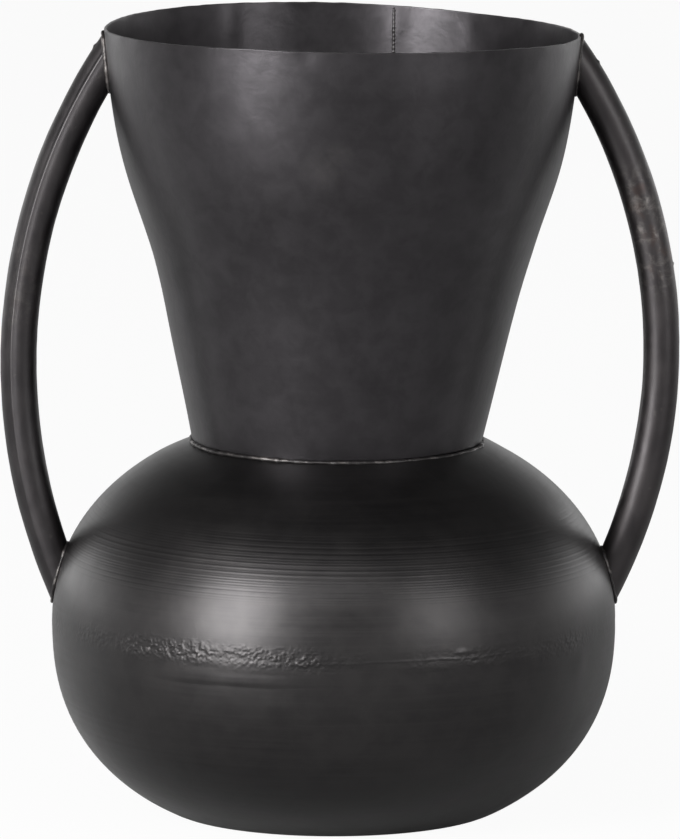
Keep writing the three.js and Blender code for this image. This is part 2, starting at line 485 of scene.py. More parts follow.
class Signal:
    """One output of a shader tree. An expression on signals adds its Math nodes."""

    def __init__(self, paint: "Paint", socket: bpy.types.NodeSocket) -> None:
        """Wraps a socket of a paint's tree."""
        self.paint = paint
        self.socket = socket

    def maths(self, operation: str, *values: Number) -> "Signal":
        """Adds one Math node with its inputs in order."""
        return self.paint.add("ShaderNodeMath", {"operation": operation}, dict(enumerate(values)))

    def __add__(self, other: Number) -> "Signal":
        """Sum."""
        return self.maths("ADD", self, other)

    __radd__ = __add__

    def __sub__(self, other: Number) -> "Signal":
        """Difference."""
        return self.maths("SUBTRACT", self, other)

    def __rsub__(self, other: Number) -> "Signal":
        """Difference with the signal taken away."""
        return self.maths("SUBTRACT", other, self)

    def __mul__(self, other: Number) -> "Signal":
        """Product."""
        return self.maths("MULTIPLY", self, other)

    __rmul__ = __mul__

    def larger(self, other: Number) -> "Signal":
        """The larger of two."""
        return self.maths("MAXIMUM", self, other)

    def step(self, low: float, high: float) -> "Signal":
        """Rises smoothly from 0 at low to 1 at high, or falls where low is the larger."""
        inputs = {"Value": self, "From Min": low, "From Max": high, "To Min": 0.0, "To Max": 1.0}
        return self.paint.add("ShaderNodeMapRange", {"interpolation_type": "SMOOTHSTEP"}, inputs)


# Blackened metal under a thin coat of wax, which shines most where it is seen aslant
WAX = {
    "Metallic": 0.95,
    "Specular IOR Level": 0.3,
    "Coat Weight": 0.55,
    "Coat Roughness": 0.36,
    "Coat IOR": 1.5,
}


class Paint:
    """A material or world under construction, with the one method that adds its nodes."""

    def __init__(self, owner: Union[Metal, bpy.types.World]) -> None:
        """Empties the owner's tree.

        Args:
            owner: What the tree dresses.
        """
        owner.use_nodes = True
        self.owner = owner
        self.tree = owner.node_tree
        self.tree.nodes.clear()

    @cached_property
    def place(self) -> Signal:
        """The place on the object, in metres."""
        return self.add("ShaderNodeTexCoord", output="Object")

    @cached_property
    def wear(self) -> Signal:
        """How rubbed the mesh says that the surface is, from 0 to 1."""
        return self.add("ShaderNodeAttribute", {"attribute_name": "wear"}, output="Fac")

    def node(self, kind: str, settings: dict[str, Any], inputs: Inputs) -> bpy.types.Node:
        """Adds a node, sets it up and fills or links its inputs.

        Args:
            kind: Type of the node.
            settings: Its properties. A ramp's stops are pairs of a place and a colour.
            inputs: Values or signals for its inputs, by name or number.

        Returns:
            The node.
        """
        node = self.tree.nodes.new(kind)
        for key, value in settings.items():
            if key == "stops":
                while len(node.color_ramp.elements) < len(value):
                    node.color_ramp.elements.new(1.0)
                for element, (where, colour) in zip(node.color_ramp.elements, value):
                    element.position = where
                    element.color = (*colour, 1.0)
            else:
                setattr(node, key, value)
        for key, value in inputs.items():
            self.fill(node.inputs[key], value)
        return node

    def fill(self, socket: bpy.types.NodeSocket, value: Any) -> None:
        """Links a signal to a socket, or sets the socket's value.

        Args:
            socket: The input.
            value: A signal, number, vector or colour.
        """
        if isinstance(value, Signal):
            self.tree.links.new(value.socket, socket)
        elif socket.type == "RGBA":
            socket.default_value = (*value, 1.0)
        else:
            socket.default_value = value

    def add(
        self,
        kind: str,
        settings: Optional[dict[str, Any]] = None,
        inputs: Optional[Inputs] = None,
        output: Union[str, int] = 0,
    ) -> Signal:
        """Adds a node and returns one of its outputs."""
        node = self.node(kind, settings or {}, inputs or {})
        return Signal(self, node.outputs[output])

    def colour(self, mask: Number, low: Union[Signal, Colour], high: Union[Signal, Colour]) -> Signal:
        """Mixes two colours by a mask, through the colour sockets of a Mix node."""
        return self.add("ShaderNodeMix", {"data_type": "RGBA"}, {0: mask, 6: low, 7: high}, output=2)

    def blend(self, mask: Signal, low: Signal, high: Signal) -> Signal:
        """Mixes two shaders by a mask."""
        return self.add("ShaderNodeMixShader", {}, {0: mask, 1: low, 2: high})

    def noise(
        self,
        scale: Union[float, tuple[float, float, float]],
        detail: float = 2.0,
        rough: float = 0.6,
        warp: float = 0.0,
    ) -> Signal:
        """Noise from 0 to 1, with so many lumps a metre, alike or along each axis.

        Args:
            scale: Lumps a metre, alike or along each axis.
            detail: Steps of finer noise.
            rough: How strong the finer noise is.
            warp: How much the noise is distorted.

        Returns:
            The noise.
        """
        place = self.place
        if isinstance(scale, tuple):
            place = self.add("ShaderNodeVectorMath", {"operation": "MULTIPLY"}, {0: place, 1: scale})
            scale = 1.0
        return self.add("ShaderNodeTexNoise", {}, {
            "Vector": place,
            "Scale": scale,
            "Detail": detail,
            "Roughness": rough,
            "Distortion": warp,
        })

    def axis(self, name: str) -> Signal:
        """One coordinate of the place on the object, in millimetres."""
        part = self.add("ShaderNodeSeparateXYZ", {}, {0: self.place}, output=name)
        return part * (1 / MM)

    def distance(self, centre: Array) -> Signal:
        """Distance from a point, in millimetres."""
        inputs = {0: self.place, 1: tuple(centre * MM)}
        return self.add("ShaderNodeVectorMath", {"operation": "DISTANCE"}, inputs, output=1) * (1 / MM)

    def bump(self, height: Signal, strength: float, distance: float, *below: Signal) -> Signal:
        """A Bump node for a height field of a distance in millimetres, on top of another."""
        inputs = {"Height": height, "Strength": strength, "Distance": distance * MM}
        return self.add("ShaderNodeBump", {}, inputs | {"Normal": normal for normal in below})

    def finish(self, colour: Signal, rough: Signal, normal: Signal) -> Metal:
        """Joins colour, roughness and normal to waxed metal, and returns the material.

        Args:
            colour: Base colour.
            rough: Roughness.
            normal: Normal with its bumps.

        Returns:
            The material.
        """
        inputs = {"Base Color": colour, "Roughness": rough, "Normal": normal, **WAX}
        surface = self.add("ShaderNodeBsdfPrincipled", {}, inputs)
        self.node("ShaderNodeOutputMaterial", {}, {"Surface": surface})
        return self.owner


# Finishes


@dataclass(frozen=True)
class Patch:
    """A rubbed patch on the vase, full within its inner distance and gone past its outer one."""

    radius: float
    angle: float
    height: float
    inner: float
    outer: float

    def on(self, paint: Paint) -> Signal:
        """How rubbed the patch leaves a surface, from 0 to 1."""
        middle = revolved(np.array([[self.radius, self.height]]), np.array([self.angle]))[0, 0]
        return paint.distance(middle).step(self.outer, self.inner)


@dataclass(frozen=True)
class SheetFinish:
    """Satin blackened sheet, with mottling, spinning marks, rubbed patches and painted shade that darkens
    its foot.
    """

    name: str
    dark: Colour
    light: Colour
    rubbed: Colour
    rough_low: float
    rough_high: float
    ring_marks: float
    hammered: float
    patches: tuple[Patch, ...] = ()
    # Painted shade at the foot: its colour, full below the low height and gone above the high one
    painted_shade: Colour = (0.008, 0.008, 0.008)
    painted_shade_low: float = 20.0
    painted_shade_high: float = 70.0

    def build(self) -> Metal:
        """Makes the material.

        Returns:
            The material.
        """
        paint = Paint(bpy.data.materials.new(self.name))
        cloud = paint.noise(14.0, 4.0, 0.55, warp=0.4).step(0.32, 0.72)
        blotch = paint.noise(55.0, 3.0).step(0.35, 0.7)
        grain = paint.noise(900.0)
        beaten = paint.noise(70.0, 3.0, warp=0.3)
        rings = paint.noise((9.0, 9.0, 620.0), 3.0)
        broad = paint.noise((5.0, 5.0, 260.0), 3.0)
        fine = paint.noise((22.0, 22.0, 2200.0), 2.0, 0.7)
        streak = (rings * 0.35 + broad * 0.4 + fine * 0.25 - 0.5) * self.ring_marks
        mottle = 0.45 * cloud + 0.35 * beaten.step(0.35, 0.65) + 0.12 * blotch + 0.08 * grain
        # Painted shade: the colour darkens towards the foot, between the two heights
        painted_shade = paint.axis("Z").step(self.painted_shade_high, self.painted_shade_low) * 0.5
        colour = paint.colour(mottle, self.dark, self.light)
        colour = paint.colour((streak + 0.1).step(0.0, 0.3) * 0.65, colour, self.light)
        colour = paint.colour(self.rub(paint), colour, self.rubbed)
        colour = paint.colour(painted_shade, colour, self.painted_shade)
        spread = self.rough_high - self.rough_low
        rough = self.rough_low + spread * (0.5 * cloud + 0.3 * blotch + 0.2 * grain) + streak * 0.2
        normal = paint.bump(cloud, 0.25, 0.35)
        normal = paint.bump(beaten, self.hammered, 0.45, normal)
        normal = paint.bump(grain * 0.5 + blotch * 0.5, 0.18, 0.06, normal)
        normal = paint.bump(rings * 0.6 + fine * 0.4, 0.5 * self.ring_marks, 0.1, normal)
        return paint.finish(colour, rough, normal)

    def rub(self, paint: Paint) -> Signal:
        """How rubbed the sheet is at its edges and in its ragged patches.

        Args:
            paint: The material under construction.

        Returns:
            The mask.
        """
        rub = paint.wear.step(0.35, 1.0) * 0.75
        ragged = 0.3 + 0.7 * paint.noise(120.0, 3.0).step(0.2, 0.9)
        for patch in self.patches:
            rub = rub.larger(patch.on(paint) * ragged * 0.35)
        return rub


@dataclass(frozen=True)
class TubeFinish:
    """Blackened tube, with lengthwise rub marks and a stretch of pitted, burnished metal."""

    name: str
    dark: Colour
    light: Colour
    rubbed: Colour
    rust: Colour
    burnish_low: float
    burnish_high: float
    burnish: float
    fade_outside: float = 18.0
    fade_inside: float = 10.0

    def build(self) -> Metal:
        """Makes the material.

        Returns:
            The material.
        """
        paint = Paint(bpy.data.materials.new(self.name))
        cloud = paint.noise(45.0, 4.0, warp=0.5).step(0.3, 0.7)
        along = paint.noise((420.0, 420.0, 26.0), 3.0, 0.65)
        grain = paint.noise(1100.0)
        spots = paint.noise(150.0, 4.0, 0.65, warp=0.5).step(0.45, 0.8)
        specks = paint.noise(130.0).step(0.66, 0.78)
        brown = paint.noise(95.0, rough=0.5).step(0.5, 0.7)
        pits = paint.noise(420.0, rough=0.5).step(0.56, 0.72)
        height = paint.axis("Z")
        stretch = height.step(self.burnish_low - self.fade_outside, self.burnish_low + self.fade_inside)
        stretch *= height.step(self.burnish_high + self.fade_outside, self.burnish_high - self.fade_inside)
        rub = (spots * stretch * self.burnish).larger(paint.wear.step(0.3, 1.0) * 0.7).larger(specks * 0.3)
        colour = paint.colour(0.5 * cloud + 0.3 * along + 0.2 * grain, self.dark, self.light)
        colour = paint.colour(brown * stretch * (0.35 * self.burnish), colour, self.rust)
        colour = paint.colour(rub, colour, self.rubbed)
        rough = 0.36 + 0.16 * cloud + 0.1 * along - 0.06 * rub
        normal = paint.bump(along, 0.3, 0.08)
        normal = paint.bump(grain * 0.4 - pits * (0.25 + 0.75 * stretch), 0.35, 0.1, normal)
        return paint.finish(colour, rough, normal)


@dataclass(frozen=True)
class WeldFinish:
    """Rough weld metal, black in its hollows and bright where it stands up and is rubbed."""

    name: str
    dark: Colour
    light: Colour
    rubbed: Colour
    shine: float

    def build(self) -> Metal:
        """Makes the material.

        Returns:
            The material.
        """
        paint = Paint(bpy.data.materials.new(self.name))
        scab = paint.noise(260.0, 4.0, 0.65, warp=0.6)
        grain = paint.noise(1400.0)
        bright = paint.noise(120.0, 3.0).step(0.48, 0.62) * paint.wear.step(0.45, 1.0) * self.shine
        colour = paint.colour(scab.step(0.35, 0.7), self.dark, self.light)
        colour = paint.colour(bright, colour, self.rubbed)
        rough = 0.46 + 0.2 * scab - 0.12 * bright
        normal = paint.bump(scab, 0.5, 0.25)
        normal = paint.bump(grain, 0.25, 0.05, normal)
        return paint.finish(colour, rough, normal)


def dress(piece: Piece, metal: Metal, node: str) -> None:
    """Gives a piece its finish and lets it stand for a node of the frame.

    Args:
        piece: The mesh to dress.
        metal: Its finish.
        node: The node that the piece stands for.
    """
    piece.data.materials.append(metal)
    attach(piece, "root")
    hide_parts(node)
    low, high = (Vector(piece.bound_box[corner]) / MM for corner in (0, 6))
    log.info("%s: %d faces, z %.1f to %.1f mm", piece.name, len(piece.data.polygons), low.z, high.z)


# The sub-assemblies


@dataclass
class Neck:
    """The rolled neck, its raw wavy rim, its seam and the bead round its foot."""

    line: NeckLine
    belly: BellyLine
    foot_gap: float = 0.9
    rim_gap: float = 0.35
    row_height: float = 2.0
    columns: int = 480
    rim_line: tuple[tuple[float, float], ...] = (
        (-180, 477.4), (-160, 478.5), (-138, 478.8), (-112, 479.6), (-90, 478.4), (-68, 477.5),
        (-45, 476.2), (-22, 473.8), (0, 472.9), (25, 472.8), (50, 473.0), (75, 475.8),
        (95, 477.8), (120, 479.0), (150, 478.9),
    )
    rim_blur: float = 7.0
    dents: tuple[Dent, ...] = (
        Dent(-92, 409, 9, 22, -0.5), Dent(-88, 419, 7, 16, -0.4), Dent(-98.6, 474, 2.5, 7, -0.5),
        Dent(119, 466, 2.5, 16, -0.6), Dent(76, 467, 2.5, 14, -0.5), Dent(56, 468, 3, 12, 0.5),
        Dent(-150, 400, 10, 45, -0.7), Dent(-166, 330, 9, 50, 0.5), Dent(-20, 380, 10, 40, -0.5),
    )
    seam_angle: float = 77.0
    seam_width: float = 2.6
    seam_ripple: float = 2.6
    seam_step: float = 0.9
    bead: float = 1.25
    bead_out: float = 0.9
    bead_up: float = 0.25
    bead_columns: int = 900
    bead_blobs: tuple[tuple[float, float, float], ...] = ((-13, 3.5, 1.1), (-166, 3.0, 0.6))
    lumps: Lumps = field(default_factory=lambda: Lumps(seed=11))

    def rim_height(self, angle: Array) -> Array:
        """Height of the rim round the neck, smooth between its listed points.

        Args:
            angle: Angles in degrees.

        Returns:
            One height for each angle.
        """
        known = np.array(self.rim_line)
        around = np.concatenate([known[:, 0] + turn for turn in (-360, 0, 360)])
        heights = np.tile(known[:, 1], 3)
        spread = np.linspace(-self.rim_blur, self.rim_blur, 9)
        soft = bump_at(spread, 0, 5)
        rows = [np.interp(turn_between(angle, 0) + aside, around, heights) for aside in spread]
        return np.tensordot(soft / soft.sum(), np.array(rows), axes=1)

    def surface(self, line: Array, normals: Array, angle: Array) -> Array:
        """Places an outline round the neck's axis, with dents and the tipped rim.

        Args:
            line: Rows of radius and height.
            normals: Their outward normals.
            angle: Angles in degrees, one for each column.

        Returns:
            Places in millimetres, as rows by columns by three.
        """
        height = line[:, 1:]
        foot, rim = self.line.foot_height, self.line.rim_height
        rise = np.clip((height - foot) / (rim - foot), 0, 1)
        edge = smooth_step(height, rim - 5, rim)
        flat = revolved(line, angle)
        push = 0.32 * self.lumps.at(flat, (34, 34, 48)) + 0.5 * self.lumps.at(flat + 40, (80, 80, 130))
        push = push * (0.25 + 0.75 * np.sin(math.pi * rise) ** 0.6)
        push = push + sum(dent.at(angle, height) for dent in self.dents)
        push = push + edge * 0.28 * self.lumps.at(flat + 90, 11)
        place = pushed(flat, normals, angle, push)
        place[..., 0] += self.line.shift_at(height)
        place[..., 2] += (self.rim_height(angle) - rim) * rise**2
        place[..., 2] += edge * 0.22 * self.lumps.at(flat + 150, 6)
        return place

    def outline(self) -> Array:
        """Outer line of the sheet, with closer rows at its two edges.

        Returns:
            Rows of radius and height.
        """
        foot = self.line.foot_height + self.foot_gap
        top = self.line.rim_height - self.rim_gap
        near = np.array([0.25, 0.6, 1.1])
        even = np.linspace(foot, top, int((top - foot) / self.row_height))
        heights = np.sort(np.concatenate([even, foot + near, top - near]))
        return line_of(self.line.radius_at(heights), heights)

    def build_sheet(self) -> Piece:
        """Makes the rolled sheet as one closed ring.

        Returns:
            The new object.
        """
        section = SheetSection(self.outline())
        points = self.surface(section.points, section.normals, full_turn(self.columns))
        wear = section.lip[:, None] * (0.55 + 0.45 * self.lumps.at(points, 14))
        return mesh_from_grid("neck_sheet", points, np.clip(wear, 0, 1))

    def build_seam(self) -> Piece:
        """Makes the lengthwise seam weld, which shows on both faces of the sheet.

        Returns:
            The new object.
        """
        heights = np.arange(self.line.foot_height + 3.2, self.line.rim_height - 0.8, self.seam_step)
        line = line_of(self.line.radius_at(heights), heights)
        normals = outward_normals(line)
        angle = np.array([self.seam_angle])
        path = self.surface(line - normals * SHEET_THICKNESS / 2, normals, angle)[:, 0]
        up = revolved(normals, angle)[:, 0]
        ripple = 1 + 0.12 * np.sin(heights * 2 * math.pi / self.seam_ripple)
        size = self.seam_width / 2 * (ripple + 0.14 * self.lumps.at(path, 7))
        return sweep_bead("neck_seam", path, up, size, flat=0.92, sides=14, closed=False)

    def build_bead(self) -> Piece:
        """Makes the thin irregular bead between the neck's foot and the shoulder.

        Returns:
            The new object.
        """
        angle = full_turn(self.bead_columns)
        ring = revolved(np.array([[1.0, 0.0]]), angle)[0]
        wander = 0.45 * self.lumps.at(ring * (self.line.foot_radius + 1), 9)
        path = ring * (self.line.foot_radius + self.bead_out + wander)[:, None]
        path[:, 0] += self.line.foot_shift
        path[:, 2] = self.belly.height_at(np.hypot(path[:, 0], path[:, 1])) + self.bead_up
        size = self.bead * (1 + 0.3 * self.lumps.at(path + 30, 4) + 0.25 * self.lumps.at(path + 70, 17))
        for at, wide, proud in self.bead_blobs:
            size += proud * bump_at(turn_between(angle, at), 0, wide)
        return sweep_bead("neck_foot_bead", path, ring * 0.6 + np.array([0, 0, 0.8]), size)

    def build(self, sheet: Metal, seam: Metal, weld: Metal) -> None:
        """Builds the neck's pieces and gives them their finishes.

        Args:
            sheet: Finish of the sheet.
            seam: Finish of the seam.
            weld: Finish of the bead.
        """
        dress(self.build_sheet(), sheet, "neck")
        dress(self.build_seam(), seam, "neck_seam_weld")
        dress(self.build_bead(), weld, "neck_weld")


@dataclass
class Belly:
    """The two spun shells."""

    line: BellyLine
    neck: NeckLine
    columns: int = 480
    ledge: float = 3.0
    ring_tilt: float = 0.013
    ring_spacing: float = 2.75
    ring_low: float = 156.0
    ring_high: float = 187.0
    ring_depth: float = 0.038
    lower_ring_spacing: float = 4.9
    lower_ring_low: float = 50.0
    lower_ring_high: float = 82.0
    crown: float = 196.0
    dents: tuple[Dent, ...] = (
        Dent(-30, 104, 2.6, 11, 0.45), Dent(-115, 165, 7, 7, 0.12), Dent(-63.3, 122.5, 1.4, 1.6, 0.4),
        Dent(-136, 80, 16, 20, -0.5), Dent(-60, 60, 18, 18, 0.35),
    )
    lumps: Lumps = field(default_factory=lambda: Lumps(seed=23))

    def push(self, place: Array, angle: Array) -> Array:
        """How far the shells stand out at places: rings, dents and unevenness, less at the joint.

        Args:
            place: Places on the smooth belly.
            angle: Their angles in degrees.

        Returns:
            One distance in millimetres for each place.
        """
        level = place[..., 2]
        height = level + self.ring_tilt * place[..., 0]
        shift = 0.25 * self.lumps.at(place + 10, (120, 120, 400))
        tall = np.stack([place[..., 0], place[..., 1], height * 14], axis=-1)
        vary = 0.45 + 0.85 * self.lumps.at(tall, (90, 90, 60))
        phase = 2 * math.pi * (height + shift) / self.ring_spacing
        rings = vary * np.sin(phase) + 0.8 * (1 - 0.5 * vary) * np.sin(1.9 * phase + 3 * shift)
        rings = rings * window(height, self.ring_low, self.ring_high, 7)
        phase = 2 * math.pi * (level + shift) / self.lower_ring_spacing
        low_rings = vary * (np.sin(phase) + 0.4 * np.sin(2.7 * phase + 1))
        low_rings = low_rings * window(level, self.lower_ring_low, self.lower_ring_high, 9)
        total = self.ring_depth * (rings + 0.8 * low_rings)
        total = total + 0.15 * self.lumps.at(place, 62) + 0.2 * self.lumps.at(place + 50, 130)
        total = total + sum(dent.at(angle, level) for dent in self.dents)
        return total * (1 - 0.9 * bump_at(level, self.line.joint, 3.0))

    def revolve(self, name: str, section: SheetSection, based: bool, shift: float = 0.0) -> Piece:
        """Revolves a sheet's section into a dented shell.

        Args:
            name: Name of the piece.
            section: The closed section.
            based: Whether the section starts near the axis, so that fans close a flat base.
            shift: How far the highest rows move towards the neck's axis.

        Returns:
            The new object.
        """
        rows = section.open_rows if based else len(section.points)
        line, normals = section.points[:rows], section.normals[:rows]
        height = line[:, 1:]
        angle = full_turn(self.columns)
        flat = revolved(line, angle)
        place = pushed(flat, normals, angle, self.push(flat, angle) * smooth_step(height, 2.0, 12.0))
        place[..., 0] += shift * smooth_step(height, height.max() - 12, height.max())
        wear = 0.4 * section.lip[:rows, None] * np.ones_like(angle)
        return mesh_from_grid(name, place, wear, closed=not based)

    def build_upper(self) -> Piece:
        """Makes the upper shell, from the joint to its hole under the neck.

        Returns:
            The new object.
        """
        hole = self.neck.foot_radius - SHEET_THICKNESS - self.ledge
        heights = np.arange(self.line.upper_edge + 0.6, self.crown, 0.4)
        radii = np.linspace(float(self.line.radius_at(self.crown)), hole, 70)[1:]
        side = line_of(self.line.radius_at(heights), heights)
        outer = np.vstack([side, line_of(radii, self.line.height_at(radii))])
        section = SheetSection(outer, inner_every=5)
        return self.revolve("upper_dome", section, based=False, shift=self.neck.foot_shift)

    def build_lower(self) -> Piece:
        """Makes the lower shell, with its flat base.

        Returns:
            The new object.
        """
        heights = np.arange(3.0, self.line.lower_edge - 0.5, 0.8)
        base = np.linspace(6, self.line.base_radius - 1.5, 26)
        corner = np.array([[self.line.base_radius + 0.4, 0.35], [self.line.radius_at(1.4), 1.4]])
        side = line_of(self.line.radius_at(heights), heights)
        outer = np.vstack([line_of(base, np.zeros_like(base)), corner, side])
        return self.revolve("lower_bowl", SheetSection(outer, inner_every=3), based=True)

    def build(self, sheet: Metal) -> None:
        """Builds the shells and gives them their finish."""
        dress(self.build_upper(), sheet, "upper_shell")
        dress(self.build_lower(), sheet, "lower_shell")


@dataclass
class Belt:
    """The ground weld belt: a scabby skin that comes out of the shells where it is thick."""

    belly: Belly
    low: float = 101.0
    high: float = 134.0
    rows: int = 84
    columns: int = 2200
    depth: float = 1.0
    inner_every: int = 6
    scab_tall: float = 6.0
    scab_rise: Stretch = Stretch(-60, -12, 14, 3.0)
    scabs: tuple[Stretch, ...] = (
        Stretch(-44, -27, 8, 0.8), Stretch(-18, -7, 9, 0.75), Stretch(2, 14, 6, 0.22),
        Stretch(30, 56, 6, 0.24), Stretch(-76, -56, 6, 0.14), Stretch(140, 178, 14, 0.3),
    )
    drips: Stretch = Stretch(-44, -27, 3, 0.8)
    ridge: Stretch = Stretch(-4, 34, 9, 0.2)
    smear: Stretch = Stretch(-33, -13, 9, 0.2)
    smear_low: float = 106.5
    smear_high: float = 116.0

    def scab_field(self, flat: Array, around: Array) -> tuple[Array, Array]:
        """How thick the scabs are at places of the belt, and how rubbed they are.

        Args:
            flat: Places on the smooth belly.
            around: Angles from the front, in degrees.

        Returns:
            Thickness and rub for each place.
        """
        lumps, joint, height = self.belly.lumps, self.belly.line.joint, flat[:, :1, 2]
        middle = joint + 3 + self.scab_rise.at(around) + 1.2 * lumps.at(flat[0] + 5, 26)
        patch = np.clip(0.85 + 0.9 * lumps.at(flat, (30, 30, 60)), 0.1, 1.2)
        grain = 0.6 * lumps.at(flat, (2.3, 2.3, 1.8)) + 0.5 * lumps.at(flat + 33, (1.3, 1.3, 1.1))
        thick = bump_at(height, middle, self.scab_tall) * patch * np.clip(grain + 0.12, -0.3, 1)
        thick = thick * (0.16 + sum(scab.at(around) for scab in self.scabs))
        drip = bump_at(height, joint + 9, 3.6) * self.drips.at(around)
        thick = thick + drip * np.clip(lumps.at(flat + 60, (2, 2, 9)) - 0.2, 0, 1)
        return thick, 1.3 * thick * smooth_step(grain, 0.05, 0.5)

    def ridge_field(self, flat: Array, around: Array) -> Array:
        """How far the fine ridge along the joint stands out at places of the belt.

        Args:
            flat: Places on the smooth belly.
            around: Angles from the front, in degrees.

        Returns:
            One number for each place.
        """
        lumps = self.belly.lumps
        middle = self.belly.line.joint + 3.4 + 1.1 * lumps.at(flat[0] + 70, 19)
        strength = (0.05 + self.ridge.at(around)) * (0.6 + 0.6 * lumps.at(flat + 8, 5))
        return bump_at(flat[:, :1, 2], middle, 0.8) * strength

    def build(self, metal: Metal) -> None:
        """Builds the belt and gives it its finish.

        Args:
            metal: Finish of the belt.
        """
        angle = full_turn(self.columns)
        around = turn_between(angle, FRONT)
        heights = np.linspace(self.low, self.high, self.rows)
        line = line_of(self.belly.line.radius_at(heights), heights)
        normals, height = outward_normals(line), line[:, 1:]
        flat = revolved(line, angle)
        scab, rubbed = self.scab_field(flat, around)
        ridge = self.ridge_field(flat, around)
        smear = window(height, self.smear_low, self.smear_high, 5) * (0.03 + self.smear.at(around))
        smear = smear * (1 + 0.25 * self.belly.lumps.at(flat + 12, (24, 24, 3)))
        film = 0.05 + 0.45 * scab + 0.7 * ridge + smear
        edge = np.minimum(height - self.low, self.high - height)
        sunk = 0.1 * (1 - smooth_step(edge, 0, 10)) + 0.6 * (1 - smooth_step(edge, 0, 1.6))
        shell = self.belly.push(flat, angle)
        outer = pushed(flat, normals, angle, shell + film - sunk)
        inner = pushed(flat, normals, angle, shell - self.depth)[:: -self.inner_every]
        wear = np.vstack([np.clip(rubbed + 0.8 * ridge, 0, 1), np.zeros(inner.shape[:2])])
        piece = mesh_from_grid("belly_belt", np.vstack([outer, inner]), wear)
        dress(piece, metal, "belly_weld")


class End(Enum):
    """The two ends of a handle, with the way that each lies along its arc."""

    TOP = 1
    FOOT = -1


def nub(height: float, turn: float, wide: float, proud: float) -> Dent:
    """A round spot of weld metal on a tube, with its turn in degrees from outwards to the front."""
    return Dent(turn, height, math.degrees(wide / TUBE_RADIUS), wide, proud)


